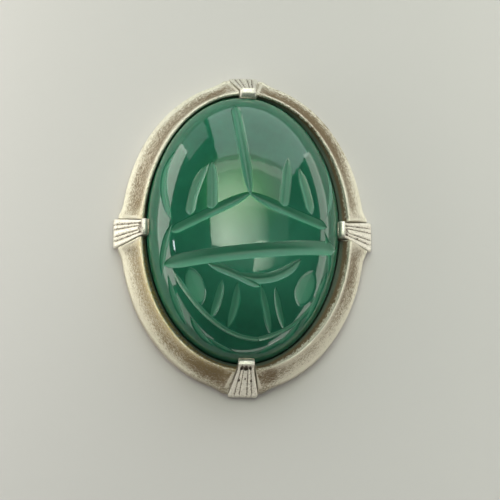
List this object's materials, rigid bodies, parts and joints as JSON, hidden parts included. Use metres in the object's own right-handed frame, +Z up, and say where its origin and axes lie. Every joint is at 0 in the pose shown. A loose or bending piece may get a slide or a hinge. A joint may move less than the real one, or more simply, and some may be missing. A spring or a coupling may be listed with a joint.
{
  "type": "mounted scarab",
  "caption": "Oval scarab beetle cut in green chalcedony as a high cabochon, held in an open-backed oval silver frame by fluted claws.",
  "frame": {"origin": "under the middle of the frame, on the surface that it lies on", "axes": "+Z up out of the stone's dome, +Y along the beetle from head to tail, +X across it"},
  "size_m": [0.0242, 0.0306, 0.008],
  "materials": {
    "chalcedony": "polished translucent dome with matt wheel-cut lines",
    "frame_silver": "satin silver with brown tarnish in the hollow and bright worn edges",
    "claw_silver": "bright silver with dark lines between the flutes"
  },
  "bodies": {
    "root": {"scarab": "chalcedony", "frame": "frame_silver", "claw_tail": "claw_silver", "claw_head": "claw_silver", "claw_left": "claw_silver", "claw_right": "claw_silver"}
  },
  "joints": []
}
